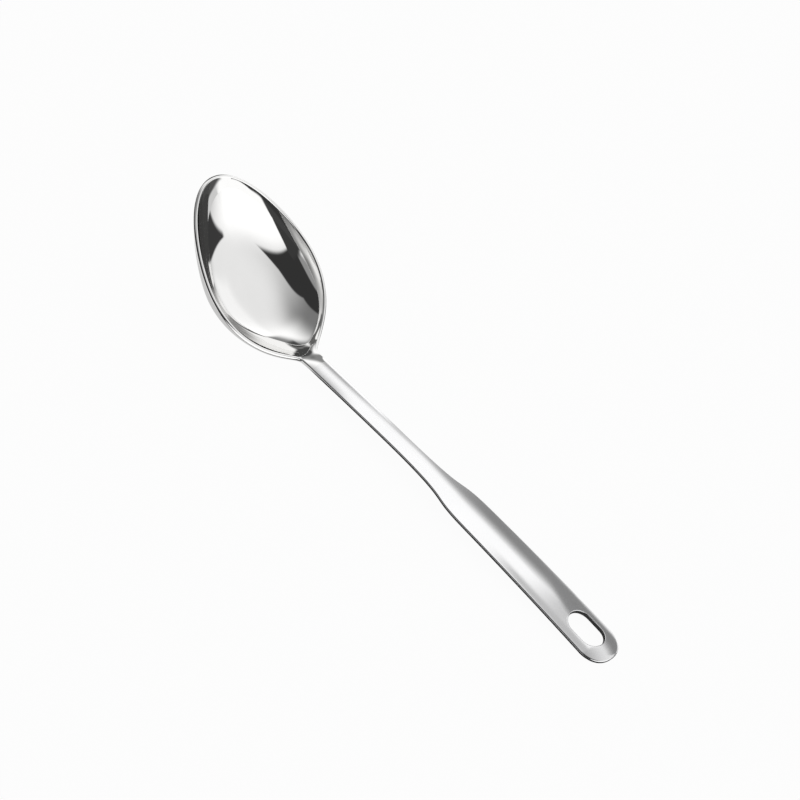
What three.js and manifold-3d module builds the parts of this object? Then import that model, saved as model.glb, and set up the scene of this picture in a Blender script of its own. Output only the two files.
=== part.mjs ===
// Basting spoon of pressed stainless steel sheet, lying on a table with its bowl upward.
// A pressed bowl with a short neck stub and a pressed handle with a hang slot are butt welded at the neck.
//
// Millimetres, +Z up. X runs along the spoon, from the tip of the bowl (-X) to the end of the handle (+X).
// The origin is the middle of the bounding box's base.
//
// The spoon is drawn as a flat outline of sheet, in lengths along X, and then pressed: a side profile lifts
// the edges of the sheet, and a dish or a crown shapes it between its edges. X = 0 in the drawing is the bend
// between bowl and shank.

import * as THREE from 'three';
import { mergeVertices } from 'three/addons/utils/BufferGeometryUtils.js';
import Module from 'manifold-3d';

// Sheet
const GAUGE = 2.5;
const EDGE_RADIUS = 1;

// Outline of the bowl, seen from above
const BOWL_WIDTH = 73;
const TIP_LENGTH = 52;
const HEEL_LENGTH = 46.4;
const NECK_FROM_BEND = 8.7;
const TIP_BLUNTNESS = 0.61;
const SIDE_BLUNTNESS = 0.32;
const HEEL_BLUNTNESS = 0.685;
const NECK_SWEEP = 0.18;

// Outline of the handle, seen from above
const NECK_WIDTH = 12.8;
const SHANK_WIDTH = 12.8;
const GRIP_WIDTH = 22.6;
const END_WIDTH = 25.4;
const SHANK_LENGTH = 64.5;
const SHOULDER_LENGTH = 65;
const GRIP_LENGTH = 88.7;
const END_LENGTH = 12.1;
const SHOULDER_EASE_IN = 0.85;
const SHOULDER_EASE_OUT = 0.46;
const CORNER_REACH = 0.38;
const END_FLATNESS = 0.78;

// Hang slot
const SLOT_LENGTH = 22.5;
const SLOT_WIDTH = 14.3;
const SLOT_TO_END = 9.1;

// Side profile of the edges
const RIM_RISE_DEG = 26.3;
const SHANK_RISE_DEG = 5.8;
const END_RISE_DEG = -1.4;
const BEND_SOFTNESS = 6;

// Shape between the edges
const BOWL_DEPTH = 16.5;
const SECTION_SQUARENESS = 1.65;
const SECTION_OVERSIZE = 1.05;
const END_OVERSIZE = 1.35;
const HEEL_FADE_BEFORE_NECK = 7;
const HEEL_FADE_AFTER_NECK = 8;
const SHANK_CROWN_RADIUS = 20;
const GRIP_CROWN_RADIUS = 38;

// Butt weld across the neck
const STUB_LENGTH = 7;
const WELD_FACE_WIDTH = 3.4;
const WELD_ROOT_WIDTH = 1.2;
const WELD_GAP = 0.1;

// Fineness of the faceted surfaces
const TIP_STEPS = 22;
const HEEL_STEPS = 26;
const STUB_STEPS = 3;
const SHANK_STEPS = 20;
const SHOULDER_STEPS = 12;
const GRIP_STEPS = 20;
const END_STEPS = 9;
const BOWL_STEPS_ACROSS = 24;
const HANDLE_STEPS_ACROSS = 12;
const FILLET_STEPS = 3;
const SLOT_ROUND_STEPS = 12;
const POLE_OFFSET = 1e-3;
const PROBE = 1e-3;

// Places along the drawing that follow from the lengths
const neckX = NECK_FROM_BEND;
const widestX = neckX - HEEL_LENGTH;
const tipX = widestX - TIP_LENGTH;
const shoulderX = neckX + SHANK_LENGTH;
const gripX = shoulderX + SHOULDER_LENGTH;
const cornerX = gripX + GRIP_LENGTH;
const endX = cornerX + END_LENGTH;
const weldX = neckX + STUB_LENGTH + WELD_FACE_WIDTH / 2;

// The outline bounds the top face, which stops short of the true edge by the edge's rounding.
const faceHalf = (width) => width / 2 - EDGE_RADIUS;
const bowlHalf = faceHalf(BOWL_WIDTH);
const neckHalf = faceHalf(NECK_WIDTH);
const shankHalf = faceHalf(SHANK_WIDTH);
const gripHalf = faceHalf(GRIP_WIDTH);
const endHalf = faceHalf(END_WIDTH);
const gripTaper = (endHalf - gripHalf) / GRIP_LENGTH;

const slope = (degrees) => Math.tan(THREE.MathUtils.degToRad(degrees));
const point2 = (x, half) => new THREE.Vector2(x, half);

// Half outline, as curves of (place along, half width)
const tipCurve = new THREE.CubicBezierCurve(
  point2(tipX, 0),
  point2(tipX, bowlHalf * TIP_BLUNTNESS),
  point2(widestX - TIP_LENGTH * SIDE_BLUNTNESS, bowlHalf),
  point2(widestX, bowlHalf),
);
const heelCurve = new THREE.CubicBezierCurve(
  point2(widestX, bowlHalf),
  point2(widestX + HEEL_LENGTH * HEEL_BLUNTNESS, bowlHalf),
  point2(neckX - HEEL_LENGTH * NECK_SWEEP, neckHalf),
  point2(neckX, neckHalf),
);
const shankCurve = new THREE.LineCurve(point2(neckX, neckHalf), point2(shoulderX, shankHalf));
const shoulderCurve = new THREE.CubicBezierCurve(
  point2(shoulderX, shankHalf),
  point2(shoulderX + SHOULDER_LENGTH * SHOULDER_EASE_IN, shankHalf),
  point2(gripX - SHOULDER_LENGTH * SHOULDER_EASE_OUT, gripHalf - gripTaper * SHOULDER_LENGTH * SHOULDER_EASE_OUT),
  point2(gripX, gripHalf),
);
const gripCurve = new THREE.LineCurve(point2(gripX, gripHalf), point2(cornerX, endHalf));
const endCurve = new THREE.CubicBezierCurve(
  point2(cornerX, endHalf),
  point2(cornerX + END_LENGTH * CORNER_REACH, endHalf + gripTaper * END_LENGTH * CORNER_REACH),
  point2(endX, endHalf * END_FLATNESS),
  point2(endX, 0),
);

// A station is one place on the outline, with what the pressing needs to know of the outline there:
// the square of the half width, its rate of change along X, and the outline's direction.
function stationOn(curve, t) {
  const place = curve.getPoint(t);
  const inside = THREE.MathUtils.clamp(t, POLE_OFFSET, 1 - POLE_OFFSET);
  const direction = curve.getTangent(inside);
  const square = place.y ** 2;
  const squareRate = (2 * curve.getPoint(inside).y * direction.y) / direction.x;
  return { x: place.x, half: place.y, square, squareRate, direction: curve.getTangent(t) };
}

function stationsOn(curve, steps) {
  return Array.from({ length: steps + 1 }, (_, i) => stationOn(curve, i / steps));
}

const shankStation = (x) => stationOn(shankCurve, (x - neckX) / SHANK_LENGTH);

// Side profile: the bowl's rim falls to the bend, the shank rises from it, and the handle arches over.
const rimSlope = slope(RIM_RISE_DEG);
const shankSlope = slope(SHANK_RISE_DEG);
const arch = (shankSlope - slope(END_RISE_DEG)) / (2 * endX);

function profileHeight(x) {
  const soft = Math.hypot(x, BEND_SOFTNESS);
  const alongHandle = (soft + x) / 2;
  return ((shankSlope + rimSlope) * soft) / 2 + ((shankSlope - rimSlope) * x) / 2 - arch * alongHandle ** 2;
}

function profileAngle(x) {
  return Math.atan2(profileHeight(x + PROBE) - profileHeight(x - PROBE), 2 * PROBE);
}

// Height of the top face over the line between its edges: a dish in the bowl, which fades at the neck into the
// handle's crown. Both depend on (half width squared - y squared), so both end at the edges.
// The dish's section lies between an ellipse (squareness 1) and a box. It is a little wider than the bowl where the
// bowl is widest, so the walls are steep there, and wider still towards the tip and the heel, where they lean out.
const sectionHeight = (reach) => (1 - Math.max(reach, 0) ** SECTION_SQUARENESS) ** (0.5 / SECTION_SQUARENESS);

function lift(x, y, square) {
  const inside = square - y ** 2;
  const oversize = THREE.MathUtils.lerp(END_OVERSIZE ** 2, SECTION_OVERSIZE ** 2, square / bowlHalf ** 2);
  const floor = sectionHeight(1 / oversize);
  const arc = sectionHeight((1 - inside / bowlHalf ** 2) / oversize);
  const dish = (BOWL_DEPTH * (arc - floor)) / (1 - floor);
  const fade = THREE.MathUtils.smootherstep(x, neckX - HEEL_FADE_BEFORE_NECK, neckX + HEEL_FADE_AFTER_NECK);
  const broad = THREE.MathUtils.smootherstep(x, shoulderX, gripX);
  const crown = THREE.MathUtils.lerp(1 / SHANK_CROWN_RADIUS, 1 / GRIP_CROWN_RADIUS, broad);
  return fade * (inside * crown) / 2 - (1 - fade) * dish;
}

function pressedPoint(x, y, square) {
  const angle = profileAngle(x);
  const height = lift(x, y, square);
  return new THREE.Vector3(x - height * Math.sin(angle), y, profileHeight(x) + height * Math.cos(angle));
}

// Directions of the pressed sheet at a station: along X, across, and square to its top face.
function pressedFrame(station, y) {
  const { x, square, squareRate } = station;
  const along = pressedPoint(x + PROBE, y, square + squareRate * PROBE)
    .sub(pressedPoint(x - PROBE, y, square - squareRate * PROBE))
    .divideScalar(2 * PROBE);
  const across = pressedPoint(x, y + PROBE, square)
    .sub(pressedPoint(x, y - PROBE, square))
    .divideScalar(2 * PROBE);
  const normal = along.clone().cross(across).normalize();
  return { along, across, normal };
}

// A point of the sheet: side runs from -1 to 1 across it, depth goes down through its gauge, and out goes
// outward past its edge.
function sheetPoint(station, { side, depth, out }) {
  const y = side * station.half;
  const { along, across, normal } = pressedFrame(station, y);
  const point = pressedPoint(station.x, y, station.square).addScaledVector(normal, -depth);
  if (out > 0) {
    const edge = along.multiplyScalar(station.direction.x).addScaledVector(across, side * station.direction.y);
    const outward = normal.cross(edge).normalize().multiplyScalar(side);
    point.addScaledVector(outward, out);
  }
  return point;
}

// The loop of the sheet's section, clockwise seen from the handle's end: top face, one edge, underside, other edge.
// Its points are closest near the edges, where the bowl's walls turn up.
function sectionLoop(stepsAcross) {
  const top = [];
  for (let i = 0; i <= stepsAcross; i += 1) {
    top.push({ side: Math.sin((i / stepsAcross - 0.5) * Math.PI), depth: 0, out: 0 });
  }
  const edge = [];
  for (let i = 1; i <= FILLET_STEPS; i += 1) {
    const turn = (i / FILLET_STEPS) * (Math.PI / 2);
    edge.push({ depth: EDGE_RADIUS * (1 - Math.cos(turn)), out: EDGE_RADIUS * Math.sin(turn) });
  }
  const lowerEdge = edge.map(({ depth, out }) => ({ depth: GAUGE - depth, out })).reverse();
  const right = [...edge, ...lowerEdge].map((spot) => ({ ...spot, side: 1 }));
  const left = [...right].reverse().map((spot) => ({ ...spot, side: -1 }));
  const under = [...top].reverse().map((spot) => ({ ...spot, depth: GAUGE }));
  return [...top, ...right, ...under, ...left];
}

// A ring is the section loop at one station, or at stations that change with depth where an end is cut slanting.
const straightRing = (station, loop) => loop.map((spot) => sheetPoint(station, spot));

function slantedRing(faceX, rootX, loop) {
  return loop.map((spot) => {
    const x = THREE.MathUtils.lerp(faceX, rootX, spot.depth / GAUGE);
    return sheetPoint(shankStation(x), spot);
  });
}

// Triangles of a cut end: the top face's points against the underside's, and a fan over each rounded edge.
function capTriangles(start, stepsAcross, loopLength) {
  const triangles = [];
  const edgeCount = 2 * FILLET_STEPS;
  const underStart = stepsAcross + 1 + edgeCount;
  const last = underStart + stepsAcross;
  for (let i = 0; i < stepsAcross; i += 1) {
    triangles.push([i, i + 1, last - i - 1], [i, last - i - 1, last - i]);
  }
  for (let i = stepsAcross; i < underStart - 1; i += 1) {
    triangles.push([underStart, i, i + 1]);
  }
  for (let i = last; i < loopLength - 1; i += 1) {
    triangles.push([0, i, i + 1]);
  }
  return triangles.map((triangle) => triangle.map((index) => start + index));
}

// Closed body through a row of rings. A ring at a pole of the outline closes by itself; a cut end gets a cap.
function loftGeometry(rings, stepsAcross, cutStart, cutEnd) {
  const count = rings[0].length;
  const triangles = [];
  for (let ring = 0; ring < rings.length - 1; ring += 1) {
    for (let i = 0; i < count; i += 1) {
      const next = (i + 1) % count;
      const here = ring * count;
      const there = here + count;
      triangles.push([here + i, there + i, there + next], [here + i, there + next, here + next]);
    }
  }
  if (cutStart) {
    triangles.push(...capTriangles(0, stepsAcross, count));
  }
  if (cutEnd) {
    const caps = capTriangles((rings.length - 1) * count, stepsAcross, count);
    triangles.push(...caps.map(([a, b, c]) => [a, c, b]));
  }
  const geometry = new THREE.BufferGeometry().setFromPoints(rings.flat());
  geometry.setIndex(triangles.flat());
  return closedGeometry(geometry);
}

// Merges shared points and drops the triangles that have no area left.
function closedGeometry(geometry) {
  geometry.deleteAttribute('normal');
  geometry.deleteAttribute('uv');
  const merged = mergeVertices(geometry, PROBE);
  const index = merged.index.array;
  const kept = [];
  for (let i = 0; i < index.length; i += 3) {
    const [a, b, c] = index.slice(i, i + 3);
    if (a !== b && b !== c && c !== a) {
      kept.push(a, b, c);
    }
  }
  merged.setIndex(kept);
  return merged;
}

const wasm = await Module();
wasm.setup();

function toSolid(geometry) {
  const mesh = new wasm.Mesh({
    numProp: 3,
    vertProperties: new Float32Array(geometry.attributes.position.array),
    triVerts: new Uint32Array(geometry.index.array),
  });
  return new wasm.Manifold(mesh);
}

function toGeometry(solid) {
  const { vertProperties, triVerts } = solid.getMesh();
  const geometry = new THREE.BufferGeometry();
  geometry.setAttribute('position', new THREE.BufferAttribute(vertProperties, 3));
  geometry.setIndex(new THREE.BufferAttribute(triVerts, 1));
  return geometry;
}

// Bowl: from the tip to the slanting cut that takes the weld
function bowlGeometry() {
  const loop = sectionLoop(BOWL_STEPS_ACROSS);
  const faceX = weldX - WELD_FACE_WIDTH / 2 - WELD_GAP;
  const rootX = weldX - WELD_ROOT_WIDTH / 2 - WELD_GAP;
  const rings = [...stationsOn(tipCurve, TIP_STEPS), ...stationsOn(heelCurve, HEEL_STEPS).slice(1)]
    .map((station) => straightRing(station, loop));
  for (let i = 1; i <= STUB_STEPS; i += 1) {
    const share = i / STUB_STEPS;
    rings.push(slantedRing(
      THREE.MathUtils.lerp(neckX, faceX, share),
      THREE.MathUtils.lerp(neckX, rootX, share),
      loop,
    ));
  }
  return loftGeometry(rings, BOWL_STEPS_ACROSS, false, true);
}

// Weld: a V of filler metal between the two slanting cuts, flush with both faces
function weldGeometry() {
  const loop = sectionLoop(HANDLE_STEPS_ACROSS);
  const rings = [-1, 1].map((way) => slantedRing(
    weldX + (way * WELD_FACE_WIDTH) / 2,
    weldX + (way * WELD_ROOT_WIDTH) / 2,
    loop,
  ));
  return loftGeometry(rings, HANDLE_STEPS_ACROSS, true, true);
}

// Slot cutter: a stadium that stands square to the grip and reaches past both faces of the sheet
function slotCutter() {
  const radius = SLOT_WIDTH / 2;
  const straight = SLOT_LENGTH / 2 - radius;
  const outline = new THREE.Shape();
  outline.absarc(straight, 0, radius, -Math.PI / 2, Math.PI / 2);
  outline.absarc(-straight, 0, radius, Math.PI / 2, (3 * Math.PI) / 2);
  const crownHeight = endHalf ** 2 / (2 * GRIP_CROWN_RADIUS);
  const reach = 2 * (GAUGE + crownHeight);
  const slotX = endX + EDGE_RADIUS - SLOT_TO_END - SLOT_LENGTH / 2;
  const cutter = new THREE.ExtrudeGeometry(outline, {
    depth: 2 * reach,
    bevelEnabled: false,
    curveSegments: SLOT_ROUND_STEPS,
  });
  cutter.translate(0, 0, -reach);
  cutter.rotateY(-profileAngle(slotX));
  cutter.translate(slotX, 0, profileHeight(slotX));
  return closedGeometry(cutter);
}

// Handle: from its slanting cut at the weld to its rounded end, with the hang slot cut through
function handleGeometry() {
  const loop = sectionLoop(HANDLE_STEPS_ACROSS);
  const faceX = weldX + WELD_FACE_WIDTH / 2 + WELD_GAP;
  const rootX = weldX + WELD_ROOT_WIDTH / 2 + WELD_GAP;
  const rings = [];
  for (let i = 0; i <= SHANK_STEPS; i += 1) {
    const share = i / SHANK_STEPS;
    rings.push(slantedRing(
      THREE.MathUtils.lerp(faceX, shoulderX, share),
      THREE.MathUtils.lerp(rootX, shoulderX, share),
      loop,
    ));
  }
  const stations = [
    ...stationsOn(shoulderCurve, SHOULDER_STEPS).slice(1),
    ...stationsOn(gripCurve, GRIP_STEPS).slice(1),
    ...stationsOn(endCurve, END_STEPS).slice(1),
  ];
  rings.push(...stations.map((station) => straightRing(station, loop)));
  const strip = loftGeometry(rings, HANDLE_STEPS_ACROSS, true, false);
  return toGeometry(toSolid(strip).subtract(toSolid(slotCutter())));
}

// Angle about Y at which the spoon lies on a table: its bowl and the end of its handle are equally low.
const SEARCH_LIMIT = Math.PI / 6;
const SEARCH_STEPS = 40;

function lowestAt(geometry, turn) {
  const turned = geometry.clone().rotateY(turn);
  turned.computeBoundingBox();
  return turned.boundingBox.min.z;
}

function restingTurn(bowl, handle) {
  let low = -SEARCH_LIMIT;
  let high = SEARCH_LIMIT;
  for (let i = 0; i < SEARCH_STEPS; i += 1) {
    const middle = (low + high) / 2;
    if (lowestAt(handle, middle) > lowestAt(bowl, middle)) {
      low = middle;
    } else {
      high = middle;
    }
  }
  return (low + high) / 2;
}

// Finishes: mirror polish on the bowl, satin on the handle and on the ground weld
const mirrorSteel = new THREE.MeshStandardMaterial({ color: 0xd9dadc, metalness: 1, roughness: 0.06 });
const satinSteel = new THREE.MeshStandardMaterial({ color: 0xcfd0d2, metalness: 1, roughness: 0.24 });
const weldSteel = new THREE.MeshStandardMaterial({ color: 0xc8c9cb, metalness: 1, roughness: 0.3 });

function namedMesh(name, geometry, material) {
  const mesh = new THREE.Mesh(geometry, material);
  mesh.name = name;
  return mesh;
}

const bowl = namedMesh('bowl', bowlGeometry(), mirrorSteel);
const handle = namedMesh('handle', handleGeometry(), satinSteel);
const neckWeld = namedMesh('neck_weld', weldGeometry(), weldSteel);

const drawing = new THREE.Group();
drawing.add(bowl, neckWeld, handle);
drawing.rotation.y = restingTurn(bowl.geometry, handle.geometry);

const lying = new THREE.Box3().setFromObject(drawing, true);
drawing.position.set(-(lying.min.x + lying.max.x) / 2, 0, -lying.min.z);

const spoon = new THREE.Group();
spoon.name = 'basting_spoon';
spoon.add(drawing);

export default spoon;
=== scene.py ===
"""Basting spoon lying on a pale table: mirror polished bowl, satin handle, ground weld at the neck.

A flat blank of sheet is laid out for each piece, with the outline of the spoon. One Geometry Nodes tree, the
press, then gives every blank its side profile, its dish or crown, and its gauge. Metres, +Z up, X along the
spoon from the tip of the bowl to the end of the handle. X = 0 in a blank is the bend between bowl and shank.
"""

import math

import bmesh
import bpy
import numpy as np
from mathutils import Matrix, Vector


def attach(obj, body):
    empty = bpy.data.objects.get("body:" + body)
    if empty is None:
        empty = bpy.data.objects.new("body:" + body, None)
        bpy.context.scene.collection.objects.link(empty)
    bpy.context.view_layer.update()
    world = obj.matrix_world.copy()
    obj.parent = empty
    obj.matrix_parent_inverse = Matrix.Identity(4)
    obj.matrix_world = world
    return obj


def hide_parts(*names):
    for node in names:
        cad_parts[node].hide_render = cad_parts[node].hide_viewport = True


MM = 0.001

# Sheet
GAUGE = 2.5 * MM
EDGE_RADIUS = 1.0 * MM

# Outline of the bowl, seen from above
BOWL_WIDTH = 73 * MM
TIP_LENGTH = 52 * MM
HEEL_LENGTH = 46.4 * MM
NECK_FROM_BEND = 8.7 * MM
TIP_BLUNTNESS = 0.61
SIDE_BLUNTNESS = 0.32
HEEL_BLUNTNESS = 0.685
NECK_SWEEP = 0.18

# Outline of the handle, seen from above
NECK_WIDTH = 12.8 * MM
SHANK_WIDTH = 12.8 * MM
GRIP_WIDTH = 22.6 * MM
END_WIDTH = 25.4 * MM
SHANK_LENGTH = 64.5 * MM
SHOULDER_LENGTH = 65 * MM
GRIP_LENGTH = 88.7 * MM
END_LENGTH = 12.1 * MM
SHOULDER_EASE_IN = 0.85
SHOULDER_EASE_OUT = 0.46
CORNER_REACH = 0.38
END_FLATNESS = 0.78

# Hang slot
SLOT_LENGTH = 22.5 * MM
SLOT_WIDTH = 14.3 * MM
SLOT_TO_END = 9.1 * MM
SLOT_EDGE_RADIUS = 0.4 * MM
SLOT_MARGIN = 7 * MM

# Side profile of the edges
RIM_RISE = math.radians(26.3)
SHANK_RISE = math.radians(5.8)
END_RISE = math.radians(-1.4)
BEND_SOFTNESS = 6 * MM

# Shape between the edges
BOWL_DEPTH = 16.5 * MM
SECTION_SQUARENESS = 1.65
SECTION_OVERSIZE = 1.05
END_OVERSIZE = 1.35
HEEL_FADE_BEFORE_NECK = 7 * MM
HEEL_FADE_AFTER_NECK = 8 * MM
SHANK_CROWN_RADIUS = 20 * MM
GRIP_CROWN_RADIUS = 38 * MM

# Butt weld across the neck
STUB_LENGTH = 7 * MM
WELD_FACE_WIDTH = 3.4 * MM
WELD_ROOT_WIDTH = 1.2 * MM

# Fineness of the blanks
TIP_ROWS = 110
HEEL_ROWS = 120
STUB_ROWS = 14
WELD_ROWS = 4
SHANK_ROWS = 70
SHOULDER_ROWS = 60
GRIP_ROWS = 50
END_ROWS = 60
BOWL_STEPS_ACROSS = 96
HANDLE_STEPS_ACROSS = 40
FILLET_STEPS = 5
SLOT_RINGS = 14
POLE_OFFSET = 1e-3
PROBE = 0.1 * MM
SAME_POINT_DIGITS = 8
MERGE_DISTANCE = 1e-3 * MM
SHARP_EDGE = math.radians(38)

# Searches that halve a range until it is narrow enough
HALVINGS = 40
MOST_TILT = math.radians(30)

# Camera, as the photo was taken
CAMERA_TARGET = Vector((-20.9, 27.0, 1.61)) * MM
CAMERA_DISTANCE = 1501.2 * MM
CAMERA_AZIMUTH = math.radians(28.316)
CAMERA_ELEVATION = math.radians(44.858)
CAMERA_ROLL = math.radians(23.084)
CAMERA_LENS = 126.0
CAMERA_SENSOR = 36.0
CAMERA_REACH = 20.0

# Steel: the detail of its noises, and the range that most of the noise keeps to
CLOUD_DETAIL = 3.0
LINE_DETAIL = 2.0
USUAL_NOISE = (0.3, 0.7)

# Light, table, and two studio cards with painted reflections: a grey one upright behind the handle, a white
# one slanting above it
LIGHT_COLOUR = (1, 1, 1, 1)
TABLE_REACH = 4.0
TABLE_COLOUR = (0.92, 0.92, 0.92, 1)
TABLE_GLOW_SHARE = 0.96
GREY_CARD_X = (-50 * MM, 200 * MM)
GREY_CARD_Y = 70 * MM
GREY_CARD_HEIGHT = 180 * MM
WHITE_CARD_X = (-85 * MM, 150 * MM)
WHITE_CARD_Y = (-70 * MM, 90 * MM)
WHITE_CARD_HEIGHT = 120.6 * MM
WHITE_CARD_SLOPES = (0.3226, -0.2151)

# Brightness of what the steel shows, where 1 is white; pairs go from one end of a part to its other end
STEEL_WHITE = 1.15
DIFFUSER_NEAR = (0.20, 0.85)
DIFFUSER_FAR = (1.14, 0.88)
DIFFUSER_STRIP = 0.14
DIFFUSER_END = 0.35
LEFT_CORNER = 0.26
LEFT_RECESS = 0.07
LEFT_WALL = 0.14
PANEL = (1.17, 0.50)
PANEL_GAP = 0.045
BEHIND_CAMERA = 0.035
BELOW_PANEL = 0.045
NEAR_WALL = (0.30, 0.95)
# Painted reflection of the bowl in itself, seen by light met twice by the steel
OWN_GREY = 0.36
OWN_FAR_GREY = 0.38
OWN_RIGHT = (0.33, 1.10)
OWN_RIGHT_FADE = 0.45
OWN_STRIPE = 0.14
OWN_LEFT = 0.07
OWN_DARK = 0.06
# Painted shade on the table round the spoon, seen only in the steel
TABLE_FRONT_RIGHT = 0.04
TABLE_BY_HANDLE = 0.02
TABLE_FAR_RIGHT = 0.66
TABLE_BEYOND = 0.07
TABLE_BY_BOWL = 0.62
# Painted reflections on the two cards, for the handle's shading
GREY_CARD_GREY = (0.45, 0.26)
WHITE_CARD_END = 0.64
WHITE_CARD_EDGE = 0.56

# Places along the blank that follow from the lengths
NECK_X = NECK_FROM_BEND
WIDEST_X = NECK_X - HEEL_LENGTH
TIP_X = WIDEST_X - TIP_LENGTH
SHOULDER_X = NECK_X + SHANK_LENGTH
GRIP_X = SHOULDER_X + SHOULDER_LENGTH
CORNER_X = GRIP_X + GRIP_LENGTH
END_X = CORNER_X + END_LENGTH
WELD_X = NECK_X + STUB_LENGTH + WELD_FACE_WIDTH / 2
SLOT_X = END_X + EDGE_RADIUS - SLOT_TO_END - SLOT_LENGTH / 2
SLOT_STRAIGHT = (SLOT_LENGTH - SLOT_WIDTH) / 2
SLOT_ROW_X = SLOT_X - SLOT_LENGTH / 2 - SLOT_MARGIN


def face_half(width):
    """Half the width of a top face, which stops short of the true edge by the edge's rounding."""
    return width / 2 - EDGE_RADIUS


BOWL_HALF = face_half(BOWL_WIDTH)
NECK_HALF = face_half(NECK_WIDTH)
SHANK_HALF = face_half(SHANK_WIDTH)
GRIP_HALF = face_half(GRIP_WIDTH)
END_HALF = face_half(END_WIDTH)
GRIP_TAPER = (END_HALF - GRIP_HALF) / GRIP_LENGTH
RIM_SLOPE = math.tan(RIM_RISE)
SHANK_SLOPE = math.tan(SHANK_RISE)
PROFILE_ARCH = (SHANK_SLOPE - math.tan(END_RISE)) / (2 * END_X)


# Outline

def straight(start, end):
    """A straight stretch of outline, as the four points of a Bezier curve."""
    start, end = Vector(start), Vector(end)
    return [start, start.lerp(end, 1 / 3), start.lerp(end, 2 / 3), end]


# Half outline, as Bezier curves of (place along, half width)
TIP_CURVE = [
    Vector((TIP_X, 0)),
    Vector((TIP_X, BOWL_HALF * TIP_BLUNTNESS)),
    Vector((WIDEST_X - TIP_LENGTH * SIDE_BLUNTNESS, BOWL_HALF)),
    Vector((WIDEST_X, BOWL_HALF)),
]
HEEL_CURVE = [
    Vector((WIDEST_X, BOWL_HALF)),
    Vector((WIDEST_X + HEEL_LENGTH * HEEL_BLUNTNESS, BOWL_HALF)),
    Vector((NECK_X - HEEL_LENGTH * NECK_SWEEP, NECK_HALF)),
    Vector((NECK_X, NECK_HALF)),
]
SHANK_CURVE = straight((NECK_X, NECK_HALF), (SHOULDER_X, SHANK_HALF))
EASE_OUT = SHOULDER_LENGTH * SHOULDER_EASE_OUT
SHOULDER_CURVE = [
    Vector((SHOULDER_X, SHANK_HALF)),
    Vector((SHOULDER_X + SHOULDER_LENGTH * SHOULDER_EASE_IN, SHANK_HALF)),
    Vector((GRIP_X - EASE_OUT, GRIP_HALF - GRIP_TAPER * EASE_OUT)),
    Vector((GRIP_X, GRIP_HALF)),
]
GRIP_CURVE = straight((GRIP_X, GRIP_HALF), (CORNER_X, END_HALF))
CORNER_RUN = END_LENGTH * CORNER_REACH
END_CURVE = [
    Vector((CORNER_X, END_HALF)),
    Vector((CORNER_X + CORNER_RUN, END_HALF + GRIP_TAPER * CORNER_RUN)),
    Vector((END_X, END_HALF * END_FLATNESS)),
    Vector((END_X, 0)),
]


def curve_place(curve, t):
    a, b, c, d = curve
    s = 1 - t
    return a * s**3 + b * (3 * s * s * t) + c * (3 * s * t * t) + d * t**3


def curve_run(curve, t):
    a, b, c, d = curve
    s = 1 - t
    return ((b - a) * (s * s) + (c - b) * (2 * s * t) + (d - c) * (t * t)).normalized()


class Station:
    """A place on the outline: half width, its square, the square's rate along X, and the direction there."""

    def __init__(self, curve, t):
        inside = min(max(t, POLE_OFFSET), 1 - POLE_OFFSET)
        near = curve_run(curve, inside)
        self.x, self.half = curve_place(curve, t)
        self.square = self.half**2
        self.rate = 2 * curve_place(curve, inside).y * near.y / near.x
        self.run = curve_run(curve, t)


def stations(curve, rows):
    return [Station(curve, i / rows) for i in range(rows + 1)]


def shank_station(x):
    return Station(SHANK_CURVE, (x - NECK_X) / SHANK_LENGTH)


def grip_station(x):
    """The station at a place on the grip or on its rounded end."""
    if x <= CORNER_X:
        return Station(GRIP_CURVE, (x - GRIP_X) / GRIP_LENGTH)
    low, high = 0.0, 1.0
    for _ in range(HALVINGS):
        middle = (low + high) / 2
        if curve_place(END_CURVE, middle).x < x:
            low = middle
        else:
            high = middle
    return Station(END_CURVE, (low + high) / 2)


# Blank

# What the press reads at each point of a blank, in the order in which the values follow the point's place
PRESS_LAYERS = ("half_square", "square_rate", "past_edge", "run_x", "run_y")


class Spot:
    """A point of the section: side from -1 to 1 across, depth down through the gauge, out past the edge."""

    def __init__(self, side, depth=0.0, out=0.0):
        self.side = side
        self.depth = depth
        self.out = out


def rounded_edge(radius):
    """(depth, out) pairs round a sheet's edge, from just after its top face to just before its underside."""
    upper = []
    for i in range(1, FILLET_STEPS + 1):
        turn = i / FILLET_STEPS * math.pi / 2
        upper.append((radius * (1 - math.cos(turn)), radius * math.sin(turn)))
    lower = [(GAUGE - depth, out) for depth, out in reversed(upper)]
    return upper + lower


def section(steps_across):
    """The closed section loop, as its four runs: top face, one edge, underside, other edge."""
    sides = [math.sin(math.pi / 2 * (2 * i / steps_across - 1)) for i in range(steps_across + 1)]
    edge = rounded_edge(EDGE_RADIUS)
    top = [Spot(side) for side in sides]
    right = [Spot(1, depth, out) for depth, out in edge]
    under = [Spot(side, GAUGE) for side in reversed(sides)]
    left = [Spot(-1, depth, out) for depth, out in reversed(edge)]
    return top, right, under, left


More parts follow.
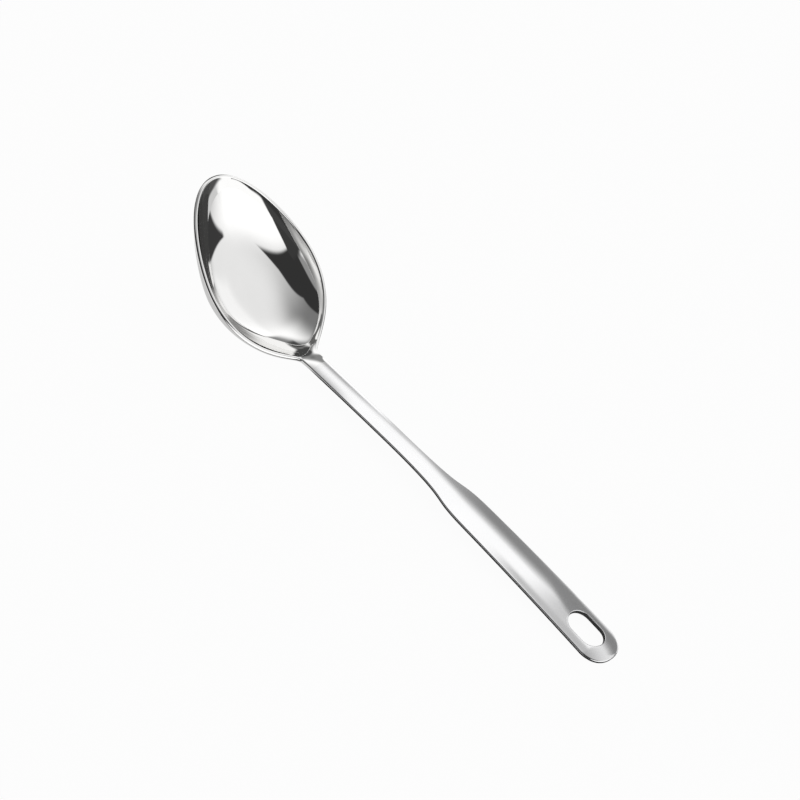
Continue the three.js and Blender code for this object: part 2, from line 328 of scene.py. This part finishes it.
class Blank:
    """A flat piece of sheet: its points, its faces, and what the press needs to know at each point."""

    def __init__(self):
        self.places = {}
        self.points = []
        self.faces = []

    def point(self, station, y, depth=0.0, out=0.0, run=(0.0, 0.0)):
        key = tuple(round(value, SAME_POINT_DIGITS) for value in (station.x, y, depth, out))
        if key not in self.places:
            self.places[key] = len(self.points)
            self.points.append((station.x, y, -depth, station.square, station.rate, out, run[0], run[1]))
        return self.places[key]

    def spot(self, station, spot):
        run = (spot.side * station.run.x, station.run.y)
        return self.point(station, spot.side * station.half, spot.depth, spot.out, run)

    def ring(self, loop, station_at_depth):
        return [self.spot(station_at_depth(spot.depth), spot) for spot in loop]

    def face(self, *corners):
        kept = list(dict.fromkeys(corners))
        if len(kept) > 2:
            self.faces.append(kept)

    def strip(self, first, second, closed=False):
        pairs = list(zip(first, second))
        if closed:
            pairs.append(pairs[0])
        for (a, b), (c, d) in zip(pairs, pairs[1:]):
            self.face(a, c, d, b)

    def skin(self, rings):
        for first, second in zip(rings, rings[1:]):
            self.strip(first, second, closed=True)

    def cap(self, ring, runs):
        """Closes a cut end: the top's points against the underside's, and one face over each rounded edge."""
        top, right, under, _ = (len(run) for run in runs)
        upper = ring[:top]
        lower = ring[top + right:top + right + under]
        self.strip(upper, lower[::-1])
        self.face(upper[-1], *ring[top:top + right], lower[0])
        self.face(lower[-1], *ring[top + right + under:], upper[0])

    def mesh(self, name):
        table = np.array(self.points)
        mesh = bpy.data.meshes.new(name)
        mesh.from_pydata(table[:, :3].tolist(), [], self.faces)
        for column, label in enumerate(PRESS_LAYERS, start=3):
            layer = mesh.attributes.new(label, "FLOAT", "POINT")
            layer.data.foreach_set("value", table[:, column].astype(np.float32))
        return mesh


def lerp(a, b, share):
    return a + (b - a) * share


def slanted(face_x, root_x):
    """Stations of a cut that slants through the gauge, from face_x on top to root_x underneath."""
    return lambda depth: shank_station(lerp(face_x, root_x, depth / GAUGE))


def upright(station):
    return lambda depth: station


def bowl_blank():
    """From the tip to the slanting cut that takes the weld."""
    blank = Blank()
    runs = section(BOWL_STEPS_ACROSS)
    loop = sum(runs, [])
    cuts = [upright(station) for station in stations(TIP_CURVE, TIP_ROWS)]
    cuts += [upright(station) for station in stations(HEEL_CURVE, HEEL_ROWS)[1:]]
    for i in range(1, STUB_ROWS + 1):
        share = i / STUB_ROWS
        face_x = lerp(NECK_X, WELD_X - WELD_FACE_WIDTH / 2, share)
        root_x = lerp(NECK_X, WELD_X - WELD_ROOT_WIDTH / 2, share)
        cuts.append(slanted(face_x, root_x))
    rings = [blank.ring(loop, cut) for cut in cuts]
    blank.skin(rings)
    blank.cap(rings[-1], runs)
    return blank


def weld_blank():
    """A V of filler metal between the two slanting cuts, flush with both faces."""
    blank = Blank()
    runs = section(HANDLE_STEPS_ACROSS)
    loop = sum(runs, [])
    rings = []
    for i in range(WELD_ROWS + 1):
        way = i / WELD_ROWS - 0.5
        cut = slanted(WELD_X + way * WELD_FACE_WIDTH, WELD_X + way * WELD_ROOT_WIDTH)
        rings.append(blank.ring(loop, cut))
    blank.skin(rings)
    blank.cap(rings[0], runs)
    blank.cap(rings[-1], runs)
    return blank


def handle_blank():
    """From its slanting cut at the weld to its rounded end, with a ring of faces round the hang slot."""
    blank = Blank()
    runs = section(HANDLE_STEPS_ACROSS)
    loop = sum(runs, [])
    face_x = WELD_X + WELD_FACE_WIDTH / 2
    root_x = WELD_X + WELD_ROOT_WIDTH / 2
    cuts = []
    for i in range(SHANK_ROWS + 1):
        share = i / SHANK_ROWS
        cuts.append(slanted(lerp(face_x, SHOULDER_X, share), lerp(root_x, SHOULDER_X, share)))
    cuts += [upright(station) for station in stations(SHOULDER_CURVE, SHOULDER_ROWS)[1:]]
    for i in range(1, GRIP_ROWS + 1):
        cuts.append(upright(grip_station(lerp(GRIP_X, SLOT_ROW_X, i / GRIP_ROWS))))
    rings = [blank.ring(loop, cut) for cut in cuts]
    blank.skin(rings)
    blank.cap(rings[0], runs)
    lay_slot_end(blank, runs)
    return blank


def lay_slot_end(blank, runs):
    """The end of the grip, in lines that run from its border to the hang slot."""
    row = grip_station(SLOT_ROW_X)
    sides = [grip_station(lerp(SLOT_ROW_X, CORNER_X, i / END_ROWS)) for i in range(END_ROWS + 1)]
    rim = sides + stations(END_CURVE, END_ROWS)[1:]
    border = [(row, spot.side) for spot in runs[0]]
    border += [(station, 1) for station in rim[1:]]
    border += [(station, -1) for station in rim[-2:0:-1]]
    lines = [slot_line(blank, station, side) for station, side in border]
    for first, second in zip(lines, lines[1:] + lines[:1]):
        blank.strip(first, second)
    first_free = len(runs[0]) - 1
    walls = []
    for (station, side), line in zip(border[first_free:] + border[:1], lines[first_free:] + lines[:1]):
        edge = [blank.spot(station, Spot(side, depth, out)) for depth, out in rounded_edge(EDGE_RADIUS)]
        walls.append([line[0]] + edge + [line[-1]])
    for first, second in zip(walls, walls[1:]):
        blank.strip(first, second)


def slot_line(blank, station, side):
    """One line of points over the sheet: along the top to the slot, down the slot's wall, back underneath."""
    outer = Vector((station.x, side * station.half))
    spine = Vector((min(max(outer.x, SLOT_X - SLOT_STRAIGHT), SLOT_X + SLOT_STRAIGHT), 0))
    inward = (spine - outer).normalized()
    inner = spine - inward * (SLOT_WIDTH / 2 + SLOT_EDGE_RADIUS)
    places = [outer.lerp(inner, i / SLOT_RINGS) for i in range(SLOT_RINGS + 1)]
    spots = [station] + [grip_station(place.x) for place in places[1:]]
    top = [blank.point(spot, place.y) for spot, place in zip(spots, places)]
    wall = []
    for depth, out in rounded_edge(SLOT_EDGE_RADIUS):
        wall.append(blank.point(spots[-1], places[-1].y, depth, out, (inward.y, -inward.x)))
    under = [blank.point(spot, place.y, GAUGE) for spot, place in zip(spots, places)]
    return top + wall + under[::-1]


# Node trees

class Field:
    """An output of a node; sums written with it add the nodes that work them out."""

    def __init__(self, tree, socket):
        self.tree = tree
        self.socket = socket

    def number(self, operation, *others):
        return self.tree.node("ShaderNodeMath", [self, *others], operation=operation)

    def vector(self, operation, *others):
        return self.tree.node("ShaderNodeVectorMath", [self, *others], operation=operation)

    def __add__(self, other):
        if self.socket.type == "VECTOR":
            return self.vector("ADD", other)
        return self.number("ADD", other)

    def __sub__(self, other):
        if self.socket.type == "VECTOR":
            return self.vector("SUBTRACT", other)
        return self.number("SUBTRACT", other)

    def __mul__(self, other):
        if self.socket.type == "VECTOR":
            return self.tree.node("ShaderNodeVectorMath", {0: self, 3: other}, operation="SCALE")
        return self.number("MULTIPLY", other)

    def __truediv__(self, other):
        return self.number("DIVIDE", other)

    def __radd__(self, other):
        return self + other

    def __rmul__(self, other):
        return self * other

    def __rsub__(self, other):
        return self.tree.node("ShaderNodeMath", [other, self], operation="SUBTRACT")

    def __rtruediv__(self, other):
        return self.tree.node("ShaderNodeMath", [other, self], operation="DIVIDE")

    def root(self):
        return self.number("MAXIMUM", 0.0).number("SQRT")

    def eased(self, start, end, low=0.0, high=1.0, step="SMOOTHERSTEP"):
        return self.tree.node(
            "ShaderNodeMapRange", [self, start, end, low, high], interpolation_type=step, clamp=True)

    def parts(self):
        node = self.tree.nodes.new("ShaderNodeSeparateXYZ")
        self.tree.feed(node.inputs[0], self)
        return [Field(self.tree, output) for output in node.outputs]


class Tree:
    """A node tree with short ways to add a node and feed it."""

    def __init__(self, nodes):
        self.nodes = nodes.nodes
        self.links = nodes.links

    def feed(self, socket, value):
        if isinstance(value, Field):
            self.links.new(value.socket, socket)
        else:
            socket.default_value = value

    def node(self, kind, inputs=(), output=None, **settings):
        """Adds a node and returns the given output, or the first one in use."""
        node = self.nodes.new(kind)
        for name, value in settings.items():
            setattr(node, name, value)
        pairs = inputs.items() if isinstance(inputs, dict) else enumerate(inputs)
        for key, value in pairs:
            self.feed(node.inputs[key], value)
        if output is not None:
            return Field(self, node.outputs[output])
        return Field(self, next(socket for socket in node.outputs if socket.enabled))


# Press

PRESS_SIZES = {
    "Bend softness": BEND_SOFTNESS,
    "Rim slope": RIM_SLOPE,
    "Shank slope": SHANK_SLOPE,
    "Profile arch": PROFILE_ARCH,
    "Bowl depth": BOWL_DEPTH,
    "Bowl half width": BOWL_HALF,
    "Section squareness": SECTION_SQUARENESS,
    "Section oversize": SECTION_OVERSIZE,
    "End oversize": END_OVERSIZE,
    "Heel fade start": NECK_X - HEEL_FADE_BEFORE_NECK,
    "Heel fade end": NECK_X + HEEL_FADE_AFTER_NECK,
    "Shoulder start": SHOULDER_X,
    "Grip start": GRIP_X,
    "Shank crown radius": SHANK_CROWN_RADIUS,
    "Grip crown radius": GRIP_CROWN_RADIUS,
}


def pressed(tree, size, x, y, square):
    """Where a point of the blank's top goes: onto the side profile, and square to it by the dish or crown."""
    rim, shank = size["Rim slope"], size["Shank slope"]
    soft = (x * x + size["Bend softness"] * size["Bend softness"]).root()
    along = (soft + x) / 2.0
    height = (shank + rim) * soft / 2.0 + (shank - rim) * x / 2.0 - size["Profile arch"] * along * along
    slope = (shank + rim) * x / soft / 2.0 + (shank - rim) / 2.0
    slope = slope - size["Profile arch"] * along * (x / soft + 1.0)
    lean = 1.0 / (slope * slope + 1.0).root()

    inside = square - y * y
    bowl_square = size["Bowl half width"] * size["Bowl half width"]
    share = inside / bowl_square
    breadth = square / bowl_square
    oversize = size["Section oversize"] * size["Section oversize"] * breadth
    oversize = oversize + size["End oversize"] * size["End oversize"] * (1.0 - breadth)
    squareness = size["Section squareness"]
    reach = ((1.0 - share) / oversize).number("MAXIMUM", 0.0).number("POWER", squareness)
    limit = (1.0 / oversize).number("POWER", squareness)
    arc = (1.0 - reach).number("MAXIMUM", 0.0).number("POWER", 0.5 / squareness)
    floor = (1.0 - limit).number("POWER", 0.5 / squareness)
    dish = size["Bowl depth"] * (arc - floor) / (1.0 - floor)
    handle = x.eased(size["Heel fade start"], size["Heel fade end"])
    broad = x.eased(size["Shoulder start"], size["Grip start"])
    crown = (1.0 - broad) / size["Shank crown radius"] + broad / size["Grip crown radius"]
    lift = handle * inside * crown / 2.0 - (1.0 - handle) * dish
    return tree.node("ShaderNodeCombineXYZ", [x - lift * slope * lean, y, height + lift * lean])


def press_tree():
    """The press as a Geometry Nodes tree, with its sizes as inputs."""
    group = bpy.data.node_groups.new("Press", "GeometryNodeTree")
    face = group.interface
    face.new_socket("Blank", in_out="INPUT", socket_type="NodeSocketGeometry")
    for name in PRESS_SIZES:
        face.new_socket(name, in_out="INPUT", socket_type="NodeSocketFloat")
    face.new_socket("Finish", in_out="INPUT", socket_type="NodeSocketMaterial")
    face.new_socket("Pressed", in_out="OUTPUT", socket_type="NodeSocketGeometry")
    tree = Tree(group)
    start = group.nodes.new("NodeGroupInput")
    size = {name: Field(tree, start.outputs[name]) for name in PRESS_SIZES}

    def stored(name):
        return tree.node("GeometryNodeInputNamedAttribute", {"Name": name}, data_type="FLOAT")

    x, y, down = tree.node("GeometryNodeInputPosition").parts()
    square, rate = stored("half_square"), stored("square_rate")
    ahead = pressed(tree, size, x + PROBE, y, square + rate * PROBE)
    behind = pressed(tree, size, x - PROBE, y, square - rate * PROBE)
    along = ahead - behind
    across = pressed(tree, size, x, y + PROBE, square) - pressed(tree, size, x, y - PROBE, square)
    normal = along.vector("CROSS_PRODUCT", across).vector("NORMALIZE")
    edge = along * stored("run_x") + across * stored("run_y")
    outward = normal.vector("CROSS_PRODUCT", edge).vector("NORMALIZE")
    place = pressed(tree, size, x, y, square) + normal * down + outward * stored("past_edge")
    flat = Field(tree, start.outputs["Blank"])
    shaped = tree.node("GeometryNodeSetPosition", {"Geometry": flat, "Position": place})
    smooth = tree.node("GeometryNodeSetShadeSmooth", {"Geometry": shaped})
    whole = tree.node("GeometryNodeRealizeInstances", {"Geometry": smooth})
    finish = Field(tree, start.outputs["Finish"])
    coated = tree.node("GeometryNodeSetMaterial", {"Geometry": whole, "Material": finish})
    end = group.nodes.new("NodeGroupOutput")
    tree.feed(end.inputs[0], coated)
    return group


def press(name, blank, finish, tree):
    """The finished mesh that the press makes of a blank."""
    draft = bpy.data.objects.new(name, blank.mesh(name))
    bpy.context.scene.collection.objects.link(draft)
    modifier = draft.modifiers.new("Press", "NODES")
    modifier.node_group = tree
    for item in tree.interface.items_tree:
        if item.item_type == "SOCKET" and item.in_out == "INPUT":
            if item.name in PRESS_SIZES:
                modifier[item.identifier] = PRESS_SIZES[item.name]
            if item.name == "Finish":
                modifier[item.identifier] = finish
    depsgraph = bpy.context.evaluated_depsgraph_get()
    mesh = bpy.data.meshes.new_from_object(draft.evaluated_get(depsgraph))
    bpy.data.objects.remove(draft)
    for label in PRESS_LAYERS:
        mesh.attributes.remove(mesh.attributes[label])
    cleaned = bmesh.new()
    cleaned.from_mesh(mesh)
    bmesh.ops.remove_doubles(cleaned, verts=cleaned.verts, dist=MERGE_DISTANCE)
    bmesh.ops.recalc_face_normals(cleaned, faces=cleaned.faces)
    cleaned.to_mesh(mesh)
    cleaned.free()
    mesh.set_sharp_from_angle(angle=SHARP_EDGE)
    return mesh


def points_of(mesh):
    table = np.empty(len(mesh.vertices) * 3, dtype=np.float32)
    mesh.vertices.foreach_get("co", table)
    return table.reshape(-1, 3).astype(float)


def lay_down(meshes):
    """Turns the spoon until bowl and handle touch the table, and puts the middle of its length at X = 0."""
    bowl, handle = points_of(meshes["bowl"]), points_of(meshes["handle"])

    def lowest(points, turn):
        return (points[:, 2] * math.cos(turn) - points[:, 0] * math.sin(turn)).min()

    low, high = -MOST_TILT, MOST_TILT
    for _ in range(HALVINGS):
        turn = (low + high) / 2
        if lowest(bowl, turn) < lowest(handle, turn):
            low = turn
        else:
            high = turn
    rest = Matrix.Rotation(turn, 4, "Y")
    for mesh in meshes.values():
        mesh.transform(rest)
    every = np.concatenate([points_of(mesh) for mesh in meshes.values()])
    middle = (every[:, 0].min() + every[:, 0].max()) / 2
    for mesh in meshes.values():
        mesh.transform(Matrix.Translation((-middle, 0, -every[:, 2].min())))


# Finishes

def new_finish(name):
    material = bpy.data.materials.new(name)
    material.use_nodes = True
    tree = Tree(material.node_tree)
    shader = material.node_tree.nodes["Principled BSDF"]
    shader.inputs["Metallic"].default_value = 1.0
    place = tree.node("ShaderNodeTexCoord", output="Object")
    return material, tree, shader, place


def noise(tree, place, stretch, detail):
    """Noise from 0 to 1, with features of 1/stretch metres along X, Y and Z."""
    spread = tree.node("ShaderNodeVectorMath", [place, stretch], operation="MULTIPLY")
    return tree.node("ShaderNodeTexNoise", {"Vector": spread, "Scale": 1.0, "Detail": detail}, output="Fac")


def tint(tree, share, low, high):
    """A colour between two others."""
    node = tree.nodes.new("ShaderNodeMix")
    node.data_type = "RGBA"
    colours = [socket for socket in node.inputs if socket.type == "RGBA"]
    tree.feed(node.inputs["Factor"], share)
    colours[0].default_value = (*low, 1)
    colours[1].default_value = (*high, 1)
    return Field(tree, next(socket for socket in node.outputs if socket.type == "RGBA"))


def steel(name, low, high, rough, lines, cloud, bump):
    """Steel whose colour and roughness drift between two values in clouds, with fine lines over them."""
    material, tree, shader, place = new_finish(name)
    drift = noise(tree, place, cloud, CLOUD_DETAIL)
    grain = noise(tree, place, lines, LINE_DETAIL)
    tree.feed(shader.inputs["Base Color"], tint(tree, drift, low, high))
    tree.feed(shader.inputs["Roughness"], ((drift + grain) / 2.0).eased(*USUAL_NOISE, *rough, "LINEAR"))
    relief = tree.node("ShaderNodeBump", {"Strength": 1.0, "Distance": bump, "Height": grain})
    tree.feed(shader.inputs["Normal"], relief)
    return material


# Studio

def mask(*fields):
    """The share of a region that is bounded by several eased edges."""
    whole = fields[0]
    for field in fields[1:]:
        whole = whole * field
    return whole


def blend(share, base, value):
    return base * (1.0 - share) + share * value


def twice_reflected(tree):
    """1 for light that has met the steel at least twice, else 0."""
    depth = tree.node("ShaderNodeLightPath", output="Glossy Depth")
    return depth.number("GREATER_THAN", 1.5)


def studio_light(tree):
    """Brightness of the room round the table in each direction.

    Directions are laid out on a disc: its middle is straight up, its border at radius 1 is level with the
    table, px goes to the right and py away from the spoon's near side. Each edge of a part is given by the two
    places between which the part fades in.
    """
    dx, dy, dz = tree.node("ShaderNodeTexCoord", output="Generated").parts()
    least_spread = 0.05
    spread = (dz + 1.0).number("MAXIMUM", least_spread)
    px = dx / spread
    py = dy / spread

    # A diffuser overhead, dim on the near left and bright on the far left, with a dark wall past its left end
    near = px.eased(-0.40, 0.66, *DIFFUSER_NEAR, "SMOOTHSTEP")
    far = px.eased(-0.32, 0.16, *DIFFUSER_FAR)
    start = px.eased(-0.36, -0.04, -0.14, -0.05)
    room = near + (far - near) * (py - start).eased(0.0, 0.45)
    strip = mask(py.eased(0.38, 0.50), px.eased(0.28, 0.20))
    room = room + strip * DIFFUSER_STRIP
    room = blend(py.eased(0.62, 1.05), room, DIFFUSER_END)
    corner = mask((py - px * 0.9).eased(0.52, 0.74), px.eased(-0.19, -0.28), py.eased(0.62, 0.54))
    room = blend(corner, room, LEFT_CORNER)
    recess = mask(px.eased(-0.35, -0.42), py.eased(0.27, 0.33))
    room = blend(recess, room, LEFT_RECESS)
    room = blend(px.eased(-0.50, -0.62), room, LEFT_WALL)

    # A white panel on the right, darker towards its far end
    panel = py.eased(0.32, 0.96, *PANEL, "LINEAR")
    room = blend(px.eased(0.28, 0.60), room, panel)

    # The dark room behind the camera, up to the diffuser's near edge and round the panel's lower end
    near_edge = py + 0.245 - (px + 0.17).number("MAXIMUM", 0.0) * 0.58
    behind = mask(near_edge.eased(0.02, -0.02), px.eased(0.43, 0.37))
    room = blend(behind, room, BEHIND_CAMERA)
    lower_edge = py - px.eased(0.36, 0.70, -0.52, -0.77, "LINEAR")
    below = mask(lower_edge.eased(0.02, -0.02), px.eased(0.15, 0.30))
    room = blend(below, room, BELOW_PANEL)

    # A grey wall low on the near left
    wall_edge = py + 0.684 + px * 0.36
    wall = py.eased(-0.82, -0.98, *NEAR_WALL)
    room = blend(mask(wall_edge.eased(0.03, -0.03), px.eased(0.26, 0.06)), room, wall)

    # The dark gap between the diffuser and the panel
    gap_left = px - 0.41 + (py - 0.42) * 0.35
    gap_right = px - 0.43 - (py - 0.42) * 0.40
    gap = mask(gap_left.eased(-0.012, 0.012), gap_right.eased(0.05, -0.03), py.eased(0.40, 0.45))
    room = blend(gap, room, PANEL_GAP)
    # Light met twice by the steel shows a painted reflection of the bowl instead of the room
    return blend(twice_reflected(tree), room, painted_self_reflection(px, py))


def painted_self_reflection(px, py):
    """A painted reflection of the bowl in itself, laid out as in studio_light."""
    # White that falls to grey towards the right and the far side
    light = (px + py * 0.33).eased(-0.07, 0.12, STEEL_WHITE, OWN_GREY, "SMOOTHSTEP")
    far_left = mask(px.eased(-0.08, -0.14), py.eased(0.28, 0.36))
    light = blend(far_left, light, OWN_FAR_GREY)
    right = py.eased(0.50, -0.20, *OWN_RIGHT) * px.eased(0.18, 0.36, 1.0, OWN_RIGHT_FADE)
    light = blend(px.eased(0.12, 0.18), light, right)

    # A dark stripe aslant, white on its near side
    across = py - px * 1.38
    near_side = mask(across.eased(-0.29, -0.34), px.eased(0.22, 0.16))
    light = blend(near_side, light, 1.0)
    stripe = mask(across.eased(-0.34, -0.29), across.eased(-0.15, -0.185), px.eased(0.18, 0.14))
    light = blend(stripe, light, OWN_STRIPE)

    # Dark past the left end, and on the right but for a white patch on the near side
    light = blend((px + py * 0.36).eased(-0.265, -0.305), light, OWN_LEFT)
    white_patch = mask(px.eased(0.35, 0.37), py.eased(-0.02, -0.07))
    light = blend(white_patch, light, 1.0)
    dark_patch = mask(px.eased(0.30, 0.35), py.eased(-0.03, 0.05))
    light = blend(dark_patch, light, OWN_DARK)
    return blend(px.eased(0.51, 0.55), light, OWN_DARK)


def cleared_tree(owner):
    """The node tree of a new material or world, with nothing in it."""
    owner.use_nodes = True
    tree = Tree(owner.node_tree)
    tree.nodes.clear()
    return tree


def build_world():
    world = bpy.data.worlds.new("Studio")
    tree = cleared_tree(world)
    camera_ray = tree.node("ShaderNodeLightPath", output="Is Camera Ray")
    light = blend(camera_ray, studio_light(tree), 1.0)
    sky = tree.node("ShaderNodeBackground", {"Color": LIGHT_COLOUR, "Strength": light})
    end = tree.nodes.new("ShaderNodeOutputWorld")
    tree.feed(end.inputs["Surface"], sky)
    bpy.context.scene.world = world


def rectangle(across, up):
    """The corners of a rectangle, once round."""
    left, right = across
    low, high = up
    return [(left, low), (right, low), (right, high), (left, high)]


def add_sheet(name, corners):
    """A flat object with four corners."""
    mesh = bpy.data.meshes.new(name)
    mesh.from_pydata(corners, [], [(0, 1, 2, 3)])
    sheet = bpy.data.objects.new(name, mesh)
    bpy.context.scene.collection.objects.link(sheet)
    return sheet


def glow_over(tree, under, brightness, share):
    """Ends a material's tree in a glow that takes a share of the light from the shader under it."""
    glow = tree.node("ShaderNodeEmission", {"Color": LIGHT_COLOUR, "Strength": brightness})
    both = tree.node("ShaderNodeMixShader", [share, under, glow])
    end = tree.nodes.new("ShaderNodeOutputMaterial")
    tree.feed(end.inputs["Surface"], both)


def table_glow(tree, glossy):
    """Brightness of the table: white to the camera, and in the steel with painted dark and grey shade round
    the spoon.
    """
    x, y, _ = tree.node("ShaderNodeTexCoord", output="Object").parts()
    # Painted shade on the table, seen only in the steel: by_handle and by_bowl are painted shadow of the spoon
    front_right = mask(y.eased(-0.11, -0.14), (y + x * 1.1).eased(-0.07, -0.11), x.eased(-0.08, -0.05))
    by_handle = mask(
        x.eased(-0.075, -0.055), x.eased(0.21, 0.17), y.eased(0.016, 0.010), y.eased(-0.20, -0.15))
    far_right = mask(x.eased(-0.08, -0.05), (y - x * 0.6).eased(0.05, 0.16))
    beyond = mask(
        x.eased(-0.08, -0.055), x.eased(0.16, 0.02), y.eased(0.09, 0.12), y.eased(0.26, 0.18))
    by_bowl = mask(
        x.eased(-0.21, -0.17), x.eased(-0.055, -0.075), y.eased(0.012, -0.004), y.eased(-0.18, -0.12))
    regions = (
        (front_right, TABLE_FRONT_RIGHT),
        (by_handle, TABLE_BY_HANDLE),
        (far_right, TABLE_FAR_RIGHT),
        (beyond, TABLE_BEYOND),
        (by_bowl, TABLE_BY_BOWL),
    )
    glow = blend(glossy, 1.0, STEEL_WHITE)
    for region, brightness in regions:
        glow = blend(glossy * region, glow, brightness)
    # Painted reflection: light met twice by the steel sees the table dark on the handle's side
    return blend(twice_reflected(tree) * x.eased(0.05, 0.12), glow, OWN_DARK)


def build_floor():
    """A white table, white to the camera and in the steel but for painted shade round the spoon; a faint
    shadow stays.
    """
    reach = (-TABLE_REACH, TABLE_REACH)
    table = add_sheet("table", [(x, y, 0) for x, y in rectangle(reach, reach)])
    material = bpy.data.materials.new("White table")
    tree = cleared_tree(material)
    path = tree.nodes.new("ShaderNodeLightPath")
    rays = ("Is Camera Ray", "Is Glossy Ray", "Is Transmission Ray")
    camera, glossy, through = (Field(tree, path.outputs[ray]) for ray in rays)
    seen = camera + glossy + through
    plain = tree.node("ShaderNodeBsdfDiffuse", {"Color": TABLE_COLOUR})
    glow_over(tree, plain, table_glow(tree, glossy), seen * TABLE_GLOW_SHARE)
    table.data.materials.append(material)


def build_card(name, corners, paint):
    """A glowing card, a painted reflection that only the steel facing it shows. Paint gives its brightness,
    and its cover from 0 to 1.
    """
    card = add_sheet(name, corners)
    card.visible_camera = False
    card.visible_diffuse = False
    card.visible_shadow = False
    card.visible_transmission = False
    material = bpy.data.materials.new(name)
    tree = cleared_tree(material)
    place = tree.node("ShaderNodeTexCoord", output="Object").parts()
    aslant = tree.node("ShaderNodeLayerWeight", {"Blend": 0.5}, output="Facing")
    brightness, cover = paint(place, aslant)
    clear = tree.node("ShaderNodeBsdfTransparent")
    glow_over(tree, clear, brightness, cover)
    card.data.materials.append(material)


def grey_paint(place, aslant):
    """Painted shade for the handle's far side: white along the table, grey above, clear further up: sooner
    beside the shank, later at the slot.
    """
    x, _, z = place
    by_shank = x.eased(0.03, -0.02)
    at_slot = mask(x.eased(0.095, 0.118), x.eased(0.145, 0.128))
    height = z + by_shank * 0.033 - at_slot * 0.04
    cover = mask(height.eased(0.115, 0.045), aslant.eased(0.56, 0.46), x.eased(-0.05, -0.025))
    grey = x.eased(-0.02, 0.06, *GREY_CARD_GREY)
    return z.eased(0.030, 0.020, grey, 1.0), cover


def white_paint(place, aslant):
    """Painted reflection for the grip: white, with painted grey shade above the slot and along the grip's near
    edge.
    """
    x, y, _ = place
    past_slot = mask(x.eased(0.117, 0.125), y.eased(0.03, 0.042))
    grey_end = mask(x.eased(0.07, 0.115), 1.0 - past_slot)
    near_edge = mask(x.eased(0.045, 0.08), y.eased(0.045, 0.02), y.eased(0.0, 0.012))
    brightness = blend(near_edge, blend(grey_end, STEEL_WHITE, WHITE_CARD_END), WHITE_CARD_EDGE)
    return brightness, mask(aslant.eased(0.18, 0.11), x.eased(-0.085, -0.06))


def build_cards():
    corners = [(x, GREY_CARD_Y, z) for x, z in rectangle(GREY_CARD_X, (0, GREY_CARD_HEIGHT))]
    build_card("Grey card", corners, grey_paint)
    slope_x, slope_y = WHITE_CARD_SLOPES
    corners = []
    for x, y in rectangle(WHITE_CARD_X, WHITE_CARD_Y):
        corners.append((x, y, WHITE_CARD_HEIGHT + slope_x * x + slope_y * y))
    build_card("White card", corners, white_paint)


def build_camera():
    data = bpy.data.cameras.new("Camera")
    data.lens = CAMERA_LENS
    data.sensor_width = CAMERA_SENSOR
    data.clip_end = CAMERA_REACH
    back = Vector((
        math.sin(CAMERA_AZIMUTH) * math.cos(CAMERA_ELEVATION),
        -math.cos(CAMERA_AZIMUTH) * math.cos(CAMERA_ELEVATION),
        math.sin(CAMERA_ELEVATION),
    ))
    side = Vector((0, 0, 1)).cross(back).normalized()
    top = back.cross(side)
    right = side * math.cos(CAMERA_ROLL) + top * math.sin(CAMERA_ROLL)
    up = back.cross(right)
    camera = bpy.data.objects.new("Camera", data)
    turn = Matrix((right, up, back)).transposed().to_4x4()
    camera.matrix_world = Matrix.Translation(CAMERA_TARGET + back * CAMERA_DISTANCE) @ turn
    bpy.context.scene.collection.objects.link(camera)
    bpy.context.scene.camera = camera


# Spoon

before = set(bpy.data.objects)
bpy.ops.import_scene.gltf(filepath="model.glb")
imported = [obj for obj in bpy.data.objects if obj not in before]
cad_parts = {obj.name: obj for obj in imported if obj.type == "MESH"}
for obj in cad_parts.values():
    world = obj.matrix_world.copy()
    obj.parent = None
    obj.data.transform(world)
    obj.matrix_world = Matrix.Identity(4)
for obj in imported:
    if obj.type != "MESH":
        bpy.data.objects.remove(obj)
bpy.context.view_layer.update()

finishes = {
    "bowl": steel(
        "Polished steel", low=(0.86, 0.857, 0.85), high=(0.91, 0.907, 0.90), rough=(0.015, 0.05),
        lines=(300, 2500, 2500), cloud=(40, 90, 90), bump=0.2e-6),
    "handle": steel(
        "Satin steel", low=(0.82, 0.82, 0.825), high=(0.88, 0.88, 0.885), rough=(0.10, 0.17),
        lines=(40, 4000, 4000), cloud=(30, 160, 160), bump=2e-6),
    "neck_weld": steel(
        "Ground weld", low=(0.80, 0.80, 0.80), high=(0.87, 0.87, 0.87), rough=(0.08, 0.15),
        lines=(900, 900, 900), cloud=(160, 160, 160), bump=2e-6),
}
blanks = {"bowl": bowl_blank(), "handle": handle_blank(), "neck_weld": weld_blank()}
press_nodes = press_tree()
meshes = {name: press(name, blank, finishes[name], press_nodes) for name, blank in blanks.items()}
lay_down(meshes)
for name, mesh in meshes.items():
    piece = bpy.data.objects.new(f"spoon_{name}", mesh)
    bpy.context.scene.collection.objects.link(piece)
    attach(piece, "root")
    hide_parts(name)

build_floor()
build_cards()
build_world()
build_camera()
bpy.context.scene.view_settings.view_transform = "Standard"
